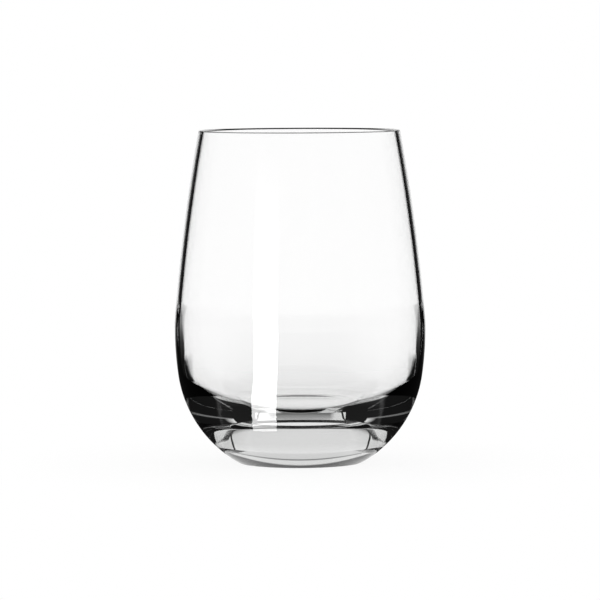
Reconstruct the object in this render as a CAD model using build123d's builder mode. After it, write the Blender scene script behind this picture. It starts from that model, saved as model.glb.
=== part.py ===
from build123d import *
from math import asin, degrees, radians, sin, sqrt
import os

# Stemless wine glass, one piece of clear glass, turned about the Z axis.
# The origin is the middle of the base, on the surface that the glass stands on.

# Driving dimensions, in millimetres, and angles in degrees
HEIGHT = 118.4  # from the table to the top of the rim
RIM_DIAMETER = 71.0  # across the crest of the rim
RIM_THICKNESS = 1.9  # wall just below the rim
RIM_LEAN = 10.3  # how far the wall leans inwards at the rim
RIM_SLOPE = 18.0  # how far the top of the rim slopes down towards the inside
RIM_ROUNDING = 0.3  # radius of the polished edges of the rim
BELLY_DIAMETER = 89.2  # outside, at the widest place
BELLY_HEIGHT = 48.2  # level of the widest place outside
BELLY_WALL = 2.2  # wall at the widest place inside
BOWL_RISE = 5.5  # how far the widest place inside lies above the one outside
FLOOR_THICKNESS = 17.0  # solid base under the middle of the bowl
FLOOR_DIAMETER = 48.0  # nearly flat floor of the bowl, up to where its corner begins
FLOOR_CURVE = 1000.0  # radius of that nearly flat floor
FLOOR_CORNER = 3.0  # radius of the corner round the floor
BOWL_FLARE = 12.0  # how far that corner turns up into the side of the bowl
FOOT_DIAMETER = 42.1  # outer edge of the flat ring that the glass stands on
FOOT_RING_WIDTH = 4.0  # width of that flat ring
HEEL_RADIUS = 2.5  # rounding from the foot ring up into the flank
FLANK_RISE = 30.0  # slope of the flank where it leaves the heel
RECESS_DEPTH = 0.4  # hollow of the underside at its middle

# Fullness of the curves: the share of each pair of arcs that its lower arc takes
FLANK_SHARE = 0.717
SHOULDER_SHARE = 0.064
BOWL_SHARE = 0.55

# Radii, angles and width that follow from the driving dimensions
rim_radius = RIM_DIAMETER / 2
belly_radius = BELLY_DIAMETER / 2
foot_radius = FOOT_DIAMETER / 2
recess_radius = foot_radius - FOOT_RING_WIDTH
floor_angle = degrees(asin(FLOOR_DIAMETER / 2 / FLOOR_CURVE))
rim_turn = 90 - RIM_LEAN + RIM_SLOPE
rim_width = (RIM_THICKNESS - 2 * RIM_ROUNDING) / sin(radians(rim_turn))

# The wall stands upright at the belly, outside and inside, and leans inwards at the rim
upright = Vector(0, 1)
lean = upright.rotate(Axis.Z, RIM_LEAN)
belly = Vector(belly_radius, BELLY_HEIGHT)
bowl_side = belly + Vector(-BELLY_WALL, BOWL_RISE)
rim_crest = Vector(rim_radius, HEIGHT - RIM_ROUNDING)
rim_start = rim_crest + lean.rotate(Axis.Z, -90) * RIM_ROUNDING


def arc_pair(start, start_way, end, end_way, share):
    """Draw two arcs that leave the start and reach the end along the ways given, and meet without a kink."""
    span = end - start
    mean_way = start_way * share + end_way * (1 - share)
    spare = 1 - mean_way.dot(mean_way)
    along = span.dot(mean_way)
    reach = (sqrt(along**2 + spare * span.dot(span)) - along) / spare
    start_corner = start + start_way * reach * share
    end_corner = end - end_way * reach * (1 - share)
    join = start_corner * (1 - share) + end_corner * share
    lower = TangentArc(start, join, tangent=start_way)
    TangentArc(join, end, tangent=lower % 1)


with BuildPart() as glass:
    with BuildSketch(Plane.XZ):
        with BuildLine():
            # Underside and outside, from the foot ring up to the rim
            foot_ring = Line((recess_radius, 0), (foot_radius, 0))
            heel = JernArc(foot_ring @ 1, foot_ring % 1, HEEL_RADIUS, FLANK_RISE)
            arc_pair(heel @ 1, heel % 1, belly, upright, FLANK_SHARE)
            arc_pair(belly, upright, rim_start, lean, SHOULDER_SHARE)
            # Rim, over its crest and down its slope to the inside
            outer_edge = JernArc(rim_start, lean, RIM_ROUNDING, rim_turn)
            rim_face = PolarLine(outer_edge @ 1, rim_width, direction=outer_edge % 1)
            inner_edge = JernArc(rim_face @ 1, rim_face % 1, RIM_ROUNDING, 180 - rim_turn)
            # Inside of the bowl, from the middle of its floor up to the rim
            bowl_floor = JernArc((0, FLOOR_THICKNESS), (1, 0), FLOOR_CURVE, floor_angle)
            floor_corner = JernArc(bowl_floor @ 1, bowl_floor % 1, FLOOR_CORNER, BOWL_FLARE)
            arc_pair(floor_corner @ 1, floor_corner % 1, bowl_side, upright, BOWL_SHARE)
            arc_pair(bowl_side, upright, inner_edge @ 1, lean, SHOULDER_SHARE)
            # Down the axis through the solid base, and out along the hollow underside
            axis_line = Line(bowl_floor @ 0, (0, RECESS_DEPTH))
            TangentArc(axis_line @ 1, foot_ring @ 0, tangent=foot_ring % 0)
        make_face()
    revolve(axis=Axis.Z)

glass.part.label = "glass"
os.makedirs("parts", exist_ok=True)
export_step(glass.part, "parts/glass.step")
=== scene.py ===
import math

import bmesh
import bpy
from bpy.props import FloatProperty, FloatVectorProperty, IntProperty, PointerProperty
from mathutils import Matrix, Vector


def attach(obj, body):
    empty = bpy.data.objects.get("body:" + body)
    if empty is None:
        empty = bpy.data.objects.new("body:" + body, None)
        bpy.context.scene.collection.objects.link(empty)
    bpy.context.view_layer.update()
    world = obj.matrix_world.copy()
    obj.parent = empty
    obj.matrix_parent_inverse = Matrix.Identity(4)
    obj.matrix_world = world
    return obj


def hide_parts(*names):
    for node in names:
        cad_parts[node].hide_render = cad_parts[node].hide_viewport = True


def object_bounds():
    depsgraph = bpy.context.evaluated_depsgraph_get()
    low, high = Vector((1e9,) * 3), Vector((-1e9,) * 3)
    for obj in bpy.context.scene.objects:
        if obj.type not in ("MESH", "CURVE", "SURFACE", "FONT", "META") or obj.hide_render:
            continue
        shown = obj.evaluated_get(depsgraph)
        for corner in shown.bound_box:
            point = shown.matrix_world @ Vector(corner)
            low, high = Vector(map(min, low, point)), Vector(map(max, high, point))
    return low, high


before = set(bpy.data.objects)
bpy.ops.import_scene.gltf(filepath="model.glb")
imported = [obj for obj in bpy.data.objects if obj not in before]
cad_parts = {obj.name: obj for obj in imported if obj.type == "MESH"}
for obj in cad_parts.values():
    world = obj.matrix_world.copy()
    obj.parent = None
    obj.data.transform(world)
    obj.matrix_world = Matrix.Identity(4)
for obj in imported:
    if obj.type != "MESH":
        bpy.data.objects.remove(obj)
CAD_LOW, CAD_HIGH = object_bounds()

bl_info = {
    "name": "Stemless Wine Glass",
    "version": (1, 0, 0),
    "blender": (4, 5, 0),
    "location": "View3D > Sidebar > Wine Glass",
    "description": "Builds a clear stemless wine glass and the small studio that shows it",
    "category": "Add Mesh",
}

PIECE = "wine_glass"
NODE = "glass"
BODY = "root"
MM = 0.001
UPRIGHT = Vector((0.0, 1.0))

# Levels in the studio: the table, the layers of mats on it and the ceiling. Mats that overlap at one
# level can hide each other, as the back mats do with wing and foot mats, and side mats with far mats
TABLE_LEVEL = -0.1 * MM
RING_LEVEL = -0.05 * MM
HEEL_LEVEL = 0.2 * MM
FELT_LEVEL = 0.3 * MM
SIDE_LEVEL = 0.4 * MM
FRONT_LEVEL = 0.5 * MM
SHADE_LEVEL = 0.6 * MM
STRIP_LEVEL = 0.9 * MM
CEILING_LEVEL = 2.4

# Reach of the table to each side, and brightness of the dark cards and of the lit softbox
TABLE_REACH = 6.0
DARK_GLOW = 0.01
SOFTBOX_GLOW = 14.0


# Settings that a user would change

class WineGlassSizes(bpy.types.PropertyGroup):
    """Sizes of the glass, the same ones that drive its solid"""

    height: FloatProperty(
        name="Height", description="From the table to the top of the rim",
        default=CAD_HIGH.z, unit="LENGTH")
    rim_diameter: FloatProperty(
        name="Rim Diameter", description="Across the crest of the rim",
        default=71.0 * MM, unit="LENGTH")
    rim_thickness: FloatProperty(
        name="Rim Thickness", description="Wall just below the rim",
        default=1.9 * MM, unit="LENGTH")
    rim_lean: FloatProperty(
        name="Rim Lean", description="How far the wall leans inwards at the rim",
        default=math.radians(10.3), unit="ROTATION")
    rim_slope: FloatProperty(
        name="Rim Slope", description="How far the top of the rim slopes down towards the inside",
        default=math.radians(18.0), unit="ROTATION")
    rim_rounding: FloatProperty(
        name="Rim Rounding", description="Radius of the polished edges of the rim",
        default=0.3 * MM, unit="LENGTH")
    belly_diameter: FloatProperty(
        name="Belly Diameter", description="Outside, at the widest place",
        default=CAD_HIGH.x - CAD_LOW.x, unit="LENGTH")
    belly_height: FloatProperty(
        name="Belly Height", description="Level of the widest place outside",
        default=48.2 * MM, unit="LENGTH")
    belly_wall: FloatProperty(
        name="Belly Wall", description="Wall at the widest place inside",
        default=2.2 * MM, unit="LENGTH")
    bowl_rise: FloatProperty(
        name="Bowl Rise", description="How far the widest place inside lies above the one outside",
        default=5.5 * MM, unit="LENGTH")
    floor_thickness: FloatProperty(
        name="Floor Thickness", description="Solid base under the middle of the bowl",
        default=17.0 * MM, unit="LENGTH")
    floor_diameter: FloatProperty(
        name="Floor Diameter", description="Nearly flat floor of the bowl, up to where its corner begins",
        default=48.0 * MM, unit="LENGTH")
    floor_curve: FloatProperty(
        name="Floor Curve", description="Radius of the nearly flat floor of the bowl",
        default=1000.0 * MM, unit="LENGTH")
    floor_corner: FloatProperty(
        name="Floor Corner", description="Radius of the corner round the floor",
        default=3.0 * MM, unit="LENGTH")
    bowl_flare: FloatProperty(
        name="Bowl Flare", description="How far that corner turns up into the side of the bowl",
        default=math.radians(12.0), unit="ROTATION")
    foot_diameter: FloatProperty(
        name="Foot Diameter", description="Outer edge of the flat ring that the glass stands on",
        default=42.1 * MM, unit="LENGTH")
    foot_ring_width: FloatProperty(
        name="Foot Ring Width", description="Width of the flat ring that the glass stands on",
        default=4.0 * MM, unit="LENGTH")
    heel_radius: FloatProperty(
        name="Heel Radius", description="Rounding from the foot ring up into the flank",
        default=2.5 * MM, unit="LENGTH")
    flank_rise: FloatProperty(
        name="Flank Rise", description="Slope of the flank where it leaves the heel",
        default=math.radians(30.0), unit="ROTATION")
    recess_depth: FloatProperty(
        name="Recess Depth", description="Hollow of the underside at its middle",
        default=0.4 * MM, unit="LENGTH")
    flank_share: FloatProperty(
        name="Flank Fullness", description="Share of the flank that its lower arc takes",
        default=0.717, subtype="FACTOR", min=0.0, max=1.0)
    shoulder_share: FloatProperty(
        name="Shoulder Fullness", description="Share of the upper wall that its lower arc takes",
        default=0.064, subtype="FACTOR", min=0.0, max=1.0)
    bowl_share: FloatProperty(
        name="Bowl Fullness", description="Share of the bowl's corner and side that the corner takes",
        default=0.55, subtype="FACTOR", min=0.0, max=1.0)
    turns: IntProperty(
        name="Turns", description="Steps of the mesh around the glass",
        default=240, min=32, max=1024)


class WineGlassFinish(bpy.types.PropertyGroup):
    """Finish of the glass"""

    tint: FloatVectorProperty(
        name="Tint", description="Colour of light after it has passed through much glass",
        subtype="COLOR", size=3, min=0.0, max=1.0, default=(0.95, 0.952, 0.95))
    depth: FloatProperty(
        name="Tint Strength", description="How quickly the tint builds up with the depth of glass, per metre",
        default=50.0, min=0.0)
    refraction: FloatProperty(
        name="Refractive Index", description="How strongly the glass bends light",
        default=1.52, min=1.0)
    ripple: FloatProperty(
        name="Ripple", description="Height of the faint waves that the mould leaves in the surface",
        default=0.010 * MM, unit="LENGTH")
    smear: FloatProperty(
        name="Smear", description="Roughness of the dullest wiped places",
        default=0.012, subtype="FACTOR", min=0.0, max=1.0)


class WineGlassStudio(bpy.types.PropertyGroup):
    """Camera and the light level of the studio"""

    camera_distance: FloatProperty(
        name="Camera Distance", description="From the axis of the glass to the camera",
        default=1.550, unit="LENGTH")
    camera_height: FloatProperty(
        name="Camera Height", description="Of the camera above the table",
        default=0.1538, unit="LENGTH")
    aim_height: FloatProperty(
        name="Aim Height", description="Level on the axis of the glass that the camera looks at",
        default=0.05795, unit="LENGTH")
    lens: FloatProperty(
        name="Lens", description="Focal length in millimetres on a 36 mm sensor",
        default=262.0, unit="CAMERA")
    roll: FloatProperty(
        name="Roll", description="How far the camera is tilted about its own line of sight",
        default=math.radians(0.25), unit="ROTATION")
    room_light: FloatProperty(
        name="Room Light", description="Light that the room sends to dull surfaces",
        default=1.0, min=0.0)


# Outline of the glass, in a half plane of radius and height

def heading(rise):
    """Way that climbs at the given angle as it runs outwards"""
    return Vector((math.cos(rise), math.sin(rise)))


def right_of(way):
    """The way after a quarter turn to the right"""
    return Vector((way.y, -way.x))


def straight(start, end, count):
    """Points after the start, along the straight line to the end"""
    return [start.lerp(end, i / count) for i in range(1, count + 1)]


def arc(start, way, end, count):
    """Points after the start, along the arc that leaves it the given way and ends at the end"""
    chord = end - start
    half_turn = math.atan2(way.cross(chord), way.dot(chord))
    radius = chord.length / (2 * math.sin(half_turn))
    centre = start - right_of(way) * radius
    spoke = start - centre
    return [centre + Matrix.Rotation(2 * half_turn * i / count, 2) @ spoke for i in range(1, count + 1)]


def arc_pair(start, start_way, end, end_way, share, counts):
    """Points along two arcs that leave the start and reach the end the ways given, and meet without a kink"""
    span = end - start
    mean_way = start_way * share + end_way * (1 - share)
    spare = 1 - mean_way.dot(mean_way)
    along = span.dot(mean_way)
    reach = (math.sqrt(along**2 + spare * span.dot(span)) - along) / spare
    start_corner = start + start_way * reach * share
    end_corner = end - end_way * reach * (1 - share)
    join = start_corner.lerp(end_corner, share)
    join_way = (end_corner - start_corner).normalized()
    return arc(start, start_way, join, counts[0]) + arc(join, join_way, end, counts[1])


def glass_outline(sizes):
    """Outline from the axis under the base, up the outside, over the rim and down to the bowl's floor"""
    outwards = Vector((1.0, 0.0))
    lean = Vector((-math.sin(sizes.rim_lean), math.cos(sizes.rim_lean)))
    lean_out = right_of(lean)
    belly = Vector((sizes.belly_diameter / 2, sizes.belly_height))
    bowl_side = belly + Vector((-sizes.belly_wall, sizes.bowl_rise))
    rim_way = -heading(sizes.rim_slope)
    rim_up = right_of(rim_way)
    rim_width = (sizes.rim_thickness - 2 * sizes.rim_rounding) / lean.cross(rim_way)
    crest_centre = Vector((sizes.rim_diameter / 2, sizes.height - sizes.rim_rounding))
    rim_outer = crest_centre + lean_out * sizes.rim_rounding
    rim_start = crest_centre + rim_up * sizes.rim_rounding
    rim_end = rim_start + rim_way * rim_width
    rim_inner = rim_end - (rim_up + lean_out) * sizes.rim_rounding
    foot_edge = Vector((sizes.foot_diameter / 2, 0.0))
    ring_edge = foot_edge - outwards * sizes.foot_ring_width
    heel_way = heading(sizes.flank_rise)
    heel_centre = foot_edge + UPRIGHT * sizes.heel_radius
    heel_end = heel_centre + right_of(heel_way) * sizes.heel_radius
    floor_turn = math.asin(sizes.floor_diameter / 2 / sizes.floor_curve)
    floor_way = heading(floor_turn)
    floor_middle = Vector((0.0, sizes.floor_thickness))
    floor_centre = floor_middle + UPRIGHT * sizes.floor_curve
    floor_edge = floor_centre + right_of(floor_way) * sizes.floor_curve
    side_way = heading(floor_turn + sizes.bowl_flare)
    corner_middle = floor_edge - right_of(floor_way) * sizes.floor_corner
    side_start = corner_middle + right_of(side_way) * sizes.floor_corner
    recess_top = Vector((0.0, sizes.recess_depth))

    # Steps of the mesh along each stretch of the outline
    recess_steps, ring_steps, heel_steps = 24, 6, 12
    flank_steps, shoulder_steps, bowl_steps = (64, 20), (10, 48), (56, 24)
    crest_steps, rim_steps, lip_steps = 14, 8, 12
    floor_steps, corner_steps = 40, 8

    outside = [recess_top, *arc(recess_top, outwards, ring_edge, recess_steps)]
    outside += straight(ring_edge, foot_edge, ring_steps)
    outside += arc(foot_edge, outwards, heel_end, heel_steps)
    outside += arc_pair(heel_end, heel_way, belly, UPRIGHT, sizes.flank_share, flank_steps)
    outside += arc_pair(belly, UPRIGHT, rim_outer, lean, sizes.shoulder_share, shoulder_steps)
    outside += arc(rim_outer, lean, rim_start, crest_steps)
    outside += straight(rim_start, rim_end, rim_steps)
    outside += arc(rim_end, rim_way, rim_inner, lip_steps)
    inside = [floor_middle, *arc(floor_middle, outwards, floor_edge, floor_steps)]
    inside += arc(floor_edge, floor_way, side_start, corner_steps)
    inside += arc_pair(side_start, side_way, bowl_side, UPRIGHT, sizes.bowl_share, bowl_steps)
    inside += arc_pair(bowl_side, UPRIGHT, rim_inner, lean, sizes.shoulder_share, shoulder_steps)
    return outside + inside[-2::-1]


def lathe(name, outline, turns):
    """New object whose mesh is the outline turned about the upright axis"""
    shape = bmesh.new()
    corners = [shape.verts.new((point.x, 0.0, point.y)) for point in outline]
    edges = [shape.edges.new(pair) for pair in zip(corners, corners[1:])]
    bmesh.ops.spin(
        shape, geom=corners + edges, cent=(0, 0, 0), axis=(0, 0, 1),
        angle=math.tau, steps=turns, use_merge=True)
    same_place = 0.0001 * MM
    bmesh.ops.remove_doubles(shape, verts=shape.verts, dist=same_place)
    bmesh.ops.recalc_face_normals(shape, faces=shape.faces)
    mesh = bpy.data.meshes.new(name)
    shape.to_mesh(mesh)
    shape.free()
    mesh.shade_smooth()
    piece = bpy.data.objects.new(name, mesh)
    bpy.context.scene.collection.objects.link(piece)
    return piece


def check_fit(piece):
    """Raise an error if the piece leaves the box of the solids"""
    slack = 0.01 * MM
    for vertex in piece.data.vertices:
        for place, low, high in zip(vertex.co, CAD_LOW, CAD_HIGH):
            if not low - slack <= place <= high + slack:
                raise ValueError("The " + piece.name + " leaves the box of its solid")


# Finishes

def new_material(name):
    """A material with an empty node tree, and its output node"""
    material = bpy.data.materials.new(name)
    material.use_nodes = True
    material.node_tree.nodes.clear()
    output = material.node_tree.nodes.new("ShaderNodeOutputMaterial")
    return material, material.node_tree, output


def polished_glass(finish):
    """Clear polished glass with faint mould waves and hardly visible wiped smears"""
    material, tree, output = new_material("polished_glass")
    nodes, link = tree.nodes, tree.links.new
    place = nodes.new("ShaderNodeTexCoord")

    waves = nodes.new("ShaderNodeTexNoise")
    waves.inputs["Scale"].default_value = 45.0
    waves.inputs["Detail"].default_value = 1.0
    link(place.outputs["Object"], waves.inputs["Vector"])
    ripple = nodes.new("ShaderNodeBump")
    ripple.inputs["Strength"].default_value = 1.0
    ripple.inputs["Distance"].default_value = finish.ripple
    link(waves.outputs["Fac"], ripple.inputs["Height"])

    wipes = nodes.new("ShaderNodeTexNoise")
    wipes.inputs["Scale"].default_value = 60.0
    wipes.inputs["Detail"].default_value = 6.0
    wipes.inputs["Distortion"].default_value = 0.6
    link(place.outputs["Object"], wipes.inputs["Vector"])
    smear = nodes.new("ShaderNodeMapRange")
    smear.inputs["From Min"].default_value = 0.55
    smear.inputs["From Max"].default_value = 0.85
    smear.inputs["To Max"].default_value = finish.smear
    link(wipes.outputs["Fac"], smear.inputs["Value"])

    glass = nodes.new("ShaderNodeBsdfPrincipled")
    glass.inputs["Base Color"].default_value = (1.0, 1.0, 1.0, 1.0)
    glass.inputs["Transmission Weight"].default_value = 1.0
    glass.inputs["IOR"].default_value = finish.refraction
    link(smear.outputs["Result"], glass.inputs["Roughness"])
    link(ripple.outputs["Normal"], glass.inputs["Normal"])
    link(glass.outputs["BSDF"], output.inputs["Surface"])

    depth = nodes.new("ShaderNodeVolumeAbsorption")
    depth.inputs["Color"].default_value = (*finish.tint, 1.0)
    depth.inputs["Density"].default_value = finish.depth
    link(depth.outputs["Volume"], output.inputs["Volume"])
    return material


# The studio: what stands round the glass

def bright_for_glass(tree):
    """Value of 1 for rays from the camera and rays that glass reflects or lets through, else 0"""
    nodes, link = tree.nodes, tree.links.new
    path = nodes.new("ShaderNodeLightPath")
    total = path.outputs["Is Camera Ray"]
    for name in ("Is Glossy Ray", "Is Transmission Ray"):
        larger = nodes.new("ShaderNodeMath")
        larger.operation = "MAXIMUM"
        link(total, larger.inputs[0])
        link(path.outputs[name], larger.inputs[1])
        total = larger.outputs["Value"]
    return total


def white_room(room_light):
    """World that is plain white to the eye and through glass, and a soft room light for dull surfaces"""
    world = bpy.data.worlds.new("white_room")
    world.use_nodes = True
    tree = world.node_tree
    tree.nodes.clear()
    link = tree.links.new
    level = tree.nodes.new("ShaderNodeMapRange")
    level.inputs["To Min"].default_value = room_light
    level.inputs["To Max"].default_value = 1.0
    link(bright_for_glass(tree), level.inputs["Value"])
    light = tree.nodes.new("ShaderNodeBackground")
    light.inputs["Color"].default_value = (1.0, 1.0, 1.0, 1.0)
    link(level.outputs["Result"], light.inputs["Strength"])
    output = tree.nodes.new("ShaderNodeOutputWorld")
    link(light.outputs["Background"], output.inputs["Surface"])
    bpy.context.scene.world = world


def white_floor():
    """Table that is plain white to the eye and through glass, and keeps a soft shadow near its middle"""
    shadow_core, shadow_edge, shadow_share = 0.04, 0.12, 0.08
    material, tree, output = new_material("white_table")
    nodes, link = tree.nodes, tree.links.new
    place = nodes.new("ShaderNodeTexCoord")
    middle = nodes.new("ShaderNodeVectorMath")
    middle.operation = "LENGTH"
    link(place.outputs["Object"], middle.inputs[0])
    share = nodes.new("ShaderNodeMapRange")
    share.interpolation_type = "SMOOTHSTEP"
    share.inputs["From Min"].default_value = shadow_core
    share.inputs["From Max"].default_value = shadow_edge
    share.inputs["To Min"].default_value = shadow_share
    share.inputs["To Max"].default_value = 0.0
    link(middle.outputs["Value"], share.inputs["Value"])
    paint = nodes.new("ShaderNodeBsdfDiffuse")
    paint.inputs["Color"].default_value = (0.9, 0.9, 0.9, 1.0)
    white = nodes.new("ShaderNodeEmission")
    white.inputs["Strength"].default_value = 1.0
    seen = nodes.new("ShaderNodeMixShader")
    link(share.outputs["Result"], seen.inputs["Fac"])
    link(white.outputs["Emission"], seen.inputs[1])
    link(paint.outputs["BSDF"], seen.inputs[2])
    table = nodes.new("ShaderNodeMixShader")
    link(bright_for_glass(tree), table.inputs["Fac"])
    link(paint.outputs["BSDF"], table.inputs[1])
    link(seen.outputs["Shader"], table.inputs[2])
    link(table.outputs["Shader"], output.inputs["Surface"])
    return material


def card_finish(name, level, bounces, crossings):
    """Card of one even brightness, from black felt to a lit diffuser, that thins out where its cover does.
    Light meets it after at least this many bounces, and after at most this many crossings of the
    surface of glass or two bounces"""
    material, tree, output = new_material(name)
    nodes, link = tree.nodes, tree.links.new
    path = nodes.new("ShaderNodeLightPath")

    def step(operation, first, second):
        node = nodes.new("ShaderNodeMath")
        node.operation = operation
        link(first, node.inputs[0])
        if isinstance(second, float):
            node.inputs[1].default_value = second
        else:
            link(second, node.inputs[1])
        return node.outputs["Value"]

    # Depths are whole counts, so each test lies half way between two of them
    half = 0.5
    guided_bounces = 2
    enough = step("GREATER_THAN", path.outputs["Glossy Depth"], bounces - half)
    shallow = step("LESS_THAN", path.outputs["Transmission Depth"], crossings + half)
    guided = step("GREATER_THAN", path.outputs["Glossy Depth"], guided_bounces - half)
    met = step("MULTIPLY", enough, step("MAXIMUM", shallow, guided))
    drawn = nodes.new("ShaderNodeAttribute")
    drawn.attribute_name = "cover"
    cover = step("MULTIPLY", drawn.outputs["Fac"], met)
    light = nodes.new("ShaderNodeEmission")
    light.inputs["Strength"].default_value = level
    clear = nodes.new("ShaderNodeBsdfTransparent")
    card = nodes.new("ShaderNodeMixShader")
    link(cover, card.inputs["Fac"])
    link(clear.outputs["BSDF"], card.inputs[1])
    link(light.outputs["Emission"], card.inputs[2])
    link(card.outputs["Shader"], output.inputs["Surface"])
    return material


def add_stage_mesh(name, points, faces, material):
    """Stage object that belongs to the studio and not to the glass"""
    mesh = bpy.data.meshes.new(name)
    mesh.from_pydata(points, [], faces)
    mesh.materials.append(material)
    thing = bpy.data.objects.new(name, mesh)
    bpy.context.scene.collection.objects.link(thing)
    return thing


def add_card(name, bearing, rows, material, soft=(0.0, 0.0), mirrored=False, through=True):
    """Card bent round the glass, which only the glass sees, mirrored in its surface or through it.
    Bearings run from straight behind towards +X, for the whole card or for each row. Each row across
    the card has a radius, a height and a cover from 0 for clear to 1 for solid. Each end of the card
    thins out over the degrees that soft gives"""
    ends = bearing if isinstance(bearing[0], tuple) else [bearing] * len(rows)
    sweep = abs(ends[0][1] - ends[0][0])
    degrees_a_step = 2
    steps = max(2, round(sweep / degrees_a_step))
    points, covers = [], []
    for i in range(steps + 1):
        along = sweep * i / steps
        share = 1.0
        for way_in, soft_end in zip((along, sweep - along), soft):
            if soft_end > 0:
                share = min(share, way_in / soft_end)
        for (first, last), (radius, height, cover) in zip(ends, rows):
            turn = math.radians(first + (last - first) * i / steps)
            points.append((radius * math.sin(turn), radius * math.cos(turn), height))
            covers.append(cover * share)
    across = len(rows)
    faces = []
    for i in range(steps):
        for j in range(across - 1):
            corner = i * across + j
            faces.append((corner, corner + across, corner + across + 1, corner + 1))
    card = add_stage_mesh(name, points, faces, material)
    card.data.attributes.new("cover", "FLOAT", "POINT").data.foreach_set("value", covers)
    card.visible_camera = False
    card.visible_diffuse = False
    card.visible_shadow = False
    card.visible_glossy = mirrored
    card.visible_transmission = through


def flat(level, *rows):
    """Rows of a mat that lies at one level, each given by its radius and cover"""
    return [(radius, level, cover) for radius, cover in rows]


def standing(radius, *rows):
    """Rows of a card that stands at one radius, each given by its height and cover"""
    return [(radius, height, cover) for height, cover in rows]


def add_table():
    """Flat table that the glass stands on"""
    reach, level = TABLE_REACH, TABLE_LEVEL
    corners = [
        (-reach, -reach, level), (reach, -reach, level),
        (reach, reach, level), (-reach, reach, level)]
    add_stage_mesh("table", corners, [(0, 1, 2, 3)], white_floor())


def add_side_cards(felt, deep_felt):
    """Cards and mats left and right of the glass, which draw its wall, heel and ring dark"""
    strip_radius, line_radius, flag_radius = 0.20, 0.80, 2.6
    wall_strip = standing(strip_radius, (0.040, 1), (0.16, 1))
    low_strip = standing(strip_radius, (0.0, 1), (0.045, 1))
    edge_line = standing(line_radius, (0.0, 1), (0.11, 1), (0.23, 1), (0.34, 1))
    line_starts = (29.5, 31, 34, 36)
    line_width = 1.5
    side_flag = standing(flag_radius, (0.0, 1), (0.45, 1), (0.60, 0))
    high_flag = standing(flag_radius, (0.45, 0), (0.60, 1), (2.6, 1), (3.0, 0))
    side_mat = flat(SIDE_LEVEL, (0.044, 0), (0.047, 1), (0.08, 1), (0.13, 0))
    far_mat = flat(SIDE_LEVEL, (0.07, 0), (0.075, 1), (2.0, 1), (2.5, 0))
    back_mat = flat(FELT_LEVEL, (0.066, 0), (0.072, 1), (2.0, 1), (2.5, 0))
    wing_mat = flat(FELT_LEVEL, (0.066, 0), (0.072, 1), (0.13, 1), (0.15, 0))
    heel_mat = flat(
        HEEL_LEVEL, (0.030, 1), (0.10, 1), (0.13, 1), (0.19, 1),
        (0.30, 1), (0.50, 0.85), (0.90, 0.3), (1.6, 0))
    heel_start = 10
    heel_reaches = (120, 110, 88, 66, 54, 53, 53, 53)
    for side, name in ((-1, "left"), (1, "right")):
        strip_ends = (30 * side, 46.5 * side)
        mat_ends = (47 * side, 118 * side)
        heel_ends = [(heel_start * side, reach * side) for reach in heel_reaches]
        line_ends = [(start * side, (start + line_width) * side) for start in line_starts]
        add_card("wall_strip_" + name, strip_ends, wall_strip, felt, mirrored=True)
        add_card("low_strip_" + name, strip_ends, low_strip, felt, mirrored=True, through=False)
        add_card("ring_strip_" + name, strip_ends, low_strip, deep_felt)
        add_card("side_flag_" + name, (45 * side, 118 * side), side_flag, deep_felt, soft=(3, 10))
        add_card("high_flag_" + name, (54 * side, 118 * side), high_flag, deep_felt, soft=(8, 10))
        add_card("side_mat_" + name, mat_ends, side_mat, deep_felt, soft=(2, 4))
        add_card("wing_mat_" + name, (46 * side, 68 * side), wing_mat, felt, soft=(2, 4))
        add_card("far_mat_" + name, mat_ends, far_mat, deep_felt, soft=(2, 4))
        add_card("back_mat_" + name, (22 * side, 49 * side), back_mat, felt, soft=(2, 2))
        add_card("heel_mat_" + name, heel_ends, heel_mat, felt, soft=(6, 6), mirrored=True, through=False)
        add_card("edge_line_" + name, line_ends, edge_line, felt)


def add_back_cards(felt, deep_felt):
    """Cards behind and under the glass, which shade its base and bowl and draw its rim, and a painted contact
    shadow round its foot
    """
    backdrop_radius, shade_radius = 2.5, 2.45
    # The foot ring is a painted contact shadow: a dark ring on the table under and round the foot, seen only
    # through the glass
    foot_ring = flat(RING_LEVEL, (0.017, 0), (0.018, 1), (0.030, 1), (0.034, 0))
    foot_mat = flat(
        FELT_LEVEL, (0.030, 1), (0.056, 1), (0.095, 1), (0.105, 0.15), (0.15, 0.15),
        (0.16, 0.8), (0.18, 0.8), (0.19, 0.25), (2.5, 0.25))
    backdrop = standing(
        backdrop_radius, (0.0, 0.12), (0.72, 0.10), (0.95, 0.40), (1.8, 0.65), (2.6, 0.9), (7.0, 0.9))
    band_shade = standing(shade_radius, (0.0, 0.8), (0.09, 0.78), (0.26, 0.5), (0.48, 0))
    rim_flag = standing(shade_radius, (0.9, 0), (1.2, 1), (2.6, 1))
    add_card("foot_ring", (0, 360), foot_ring, felt)
    add_card("foot_mat", (-28, 28), foot_mat, felt, soft=(3, 3))
    add_card("backdrop", (-52, 52), backdrop, felt, soft=(16, 16))
    add_card("band_shade", (-26, 26), band_shade, deep_felt, soft=(4, 4))
    add_card("rim_flag", (-100, 100), rim_flag, felt, soft=(10, 10), mirrored=True, through=False)


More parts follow.
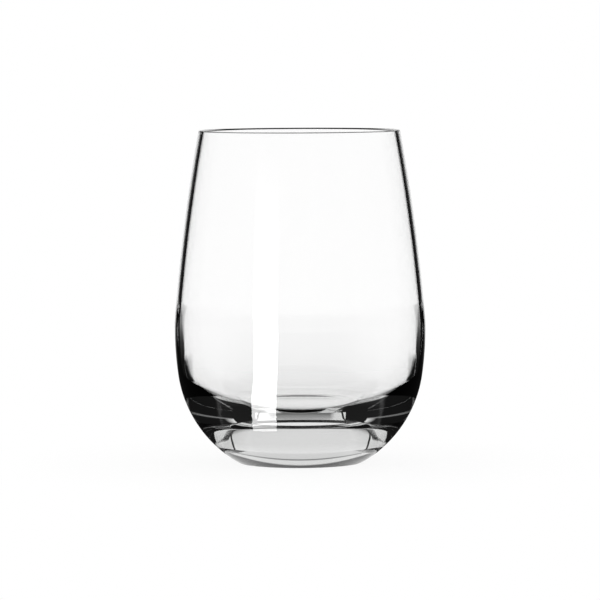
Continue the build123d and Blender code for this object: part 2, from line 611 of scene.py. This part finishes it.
def add_front_cards(felt, shade):
    """Mats in front of the glass, the faint painted shade on the table behind it and the dark ceiling"""
    near_mat = flat(FELT_LEVEL, (0.030, 0), (0.034, 0.9), (0.066, 0.9), (0.09, 0.3), (0.12, 0))
    front_mat = flat(
        FRONT_LEVEL, (0.05, 0), (0.08, 0.6), (0.12, 0.7), (0.20, 0.6),
        (0.40, 0.5), (1.0, 0.4), (2.4, 0.1))
    # Painted shade: a faint grey sheet on the table behind the glass, seen only through it, that stands in
    # for the glass's soft shadow there
    painted_floor_shade = flat(SHADE_LEVEL, (0.022, 0.10), (0.13, 0.07), (0.26, 0.04), (0.50, 0))
    ceiling = flat(CEILING_LEVEL, (0.0, 1), (1.7, 1), (2.5, 0))
    add_card("near_mat", (110, 250), near_mat, felt, soft=(4, 4), mirrored=True)
    add_card("front_mat", (105, 255), front_mat, felt, soft=(45, 45), mirrored=True)
    add_card("painted_floor_shade", (-60, 60), painted_floor_shade, shade, soft=(14, 14))
    add_card("ceiling", (0, 360), ceiling, shade, mirrored=True)


def add_strip_light():
    """Lit softbox that lies on the table in front of the glass and rises, mirrored as the white strip"""
    far_end = 1.0
    softbox = card_finish("softbox", SOFTBOX_GLOW, bounces=1, crossings=2)
    rows = flat(STRIP_LEVEL, (0.042, 0.4), (0.052, 1), (0.14, 1), (0.33, 1), (far_end, 1))
    rows += standing(far_end, (0.12, 1), (0.22, 0.1), (0.42, 0))
    ends = [
        (-162.5, -143.5), (-162.5, -143.5), (-161.5, -141.5), (-161, -140),
        (-160.5, -138.5), (-160, -137.5), (-159.5, -136), (-159, -133)]
    add_card("strip_light", ends, rows, softbox, mirrored=True, through=False)


def add_camera(studio):
    """Camera at the photograph's place, aimed at the axis of the glass"""
    data = bpy.data.cameras.new("camera")
    data.sensor_width = 36.0
    data.lens = studio.lens
    data.clip_start = 0.01
    data.clip_end = 20.0
    camera = bpy.data.objects.new("camera", data)
    camera.location = (0.0, -studio.camera_distance, studio.camera_height)
    sight = Vector((0.0, 0.0, studio.aim_height)) - camera.location
    turn = sight.to_track_quat("-Z", "Y").to_matrix().to_4x4()
    camera.rotation_euler = (turn @ Matrix.Rotation(-studio.roll, 4, "Z")).to_euler()
    bpy.context.scene.collection.objects.link(camera)
    bpy.context.scene.camera = camera


# Operators, panel and registration

class WINEGLASS_OT_glass(bpy.types.Operator):
    """Turn the glass from its outline, polish it and put it in the place of its solid"""

    bl_idname = "wineglass.glass"
    bl_label = "Build Glass"

    def execute(self, context):
        sizes = context.scene.wineglass_sizes
        piece = lathe(PIECE, glass_outline(sizes), sizes.turns)
        check_fit(piece)
        piece.data.materials.append(polished_glass(context.scene.wineglass_finish))
        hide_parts(NODE)
        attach(piece, BODY)
        return {"FINISHED"}


class WINEGLASS_OT_studio(bpy.types.Operator):
    """Set up the camera, the white table and room, and the cards that draw the edges of the glass"""

    bl_idname = "wineglass.studio"
    bl_label = "Build Studio"

    def execute(self, context):
        if PIECE not in bpy.data.objects:
            raise RuntimeError("The studio is set up round the glass, so the glass is built first")
        studio = context.scene.wineglass_studio
        context.scene.view_settings.view_transform = "Standard"
        add_camera(studio)
        white_room(studio.room_light)
        add_table()
        felt = card_finish("edge_felt", DARK_GLOW, bounces=1, crossings=2)
        deep_felt = card_finish("deep_felt", DARK_GLOW, bounces=2, crossings=2)
        shade = card_finish("grey_shade", DARK_GLOW, bounces=0, crossings=12)
        add_side_cards(felt, deep_felt)
        add_back_cards(felt, deep_felt)
        add_front_cards(felt, shade)
        add_strip_light()
        return {"FINISHED"}


class WINEGLASS_PT_panel(bpy.types.Panel):
    """Sizes, finish and studio of the wine glass"""

    bl_label = "Wine Glass"
    bl_idname = "WINEGLASS_PT_panel"
    bl_space_type = "VIEW_3D"
    bl_region_type = "UI"
    bl_category = "Wine Glass"

    def draw(self, context):
        scene = context.scene
        for settings in (scene.wineglass_sizes, scene.wineglass_finish, scene.wineglass_studio):
            column = self.layout.column()
            for name in settings.__annotations__:
                column.prop(settings, name)
        self.layout.operator(WINEGLASS_OT_glass.bl_idname)
        self.layout.operator(WINEGLASS_OT_studio.bl_idname)


CLASSES = (
    WineGlassSizes,
    WineGlassFinish,
    WineGlassStudio,
    WINEGLASS_OT_glass,
    WINEGLASS_OT_studio,
    WINEGLASS_PT_panel,
)


def register():
    for cls in CLASSES:
        bpy.utils.register_class(cls)
    bpy.types.Scene.wineglass_sizes = PointerProperty(type=WineGlassSizes)
    bpy.types.Scene.wineglass_finish = PointerProperty(type=WineGlassFinish)
    bpy.types.Scene.wineglass_studio = PointerProperty(type=WineGlassStudio)


def unregister():
    del bpy.types.Scene.wineglass_sizes
    del bpy.types.Scene.wineglass_finish
    del bpy.types.Scene.wineglass_studio
    for cls in reversed(CLASSES):
        bpy.utils.unregister_class(cls)


def main():
    register()
    bpy.ops.wineglass.glass()
    bpy.ops.wineglass.studio()


if __name__ == "__main__":
    main()
